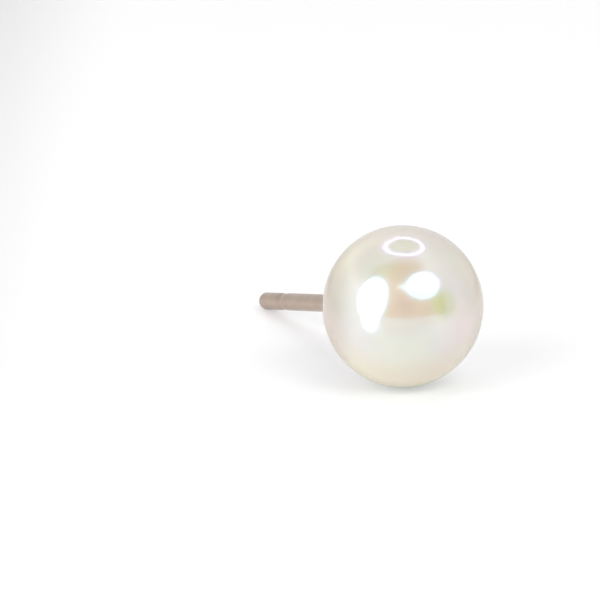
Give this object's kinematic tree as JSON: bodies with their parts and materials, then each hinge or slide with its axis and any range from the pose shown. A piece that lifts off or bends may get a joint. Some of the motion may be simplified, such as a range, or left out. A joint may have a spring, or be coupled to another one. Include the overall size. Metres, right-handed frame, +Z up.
{
  "type": "pearl stud earring",
  "caption": "Stud earring: a white round pearl on a pale gold cup and a straight post with a rounded tip, lying as it rests on a table.",
  "frame": {"origin": "on the surface that the earring lies on, under the middle of its box", "axes": "+Z up from the surface; +Y along the floor from the front of the pearl towards the tip of the post; +X to the right, across the earring, which is symmetric in X"},
  "size_m": [0.007, 0.0174, 0.0071],
  "materials": {
    "nacre": "gloss",
    "white_gold": "polished"
  },
  "bodies": {
    "root": {"pearl": "nacre", "ear_post": "white_gold"}
  },
  "joints": []
}
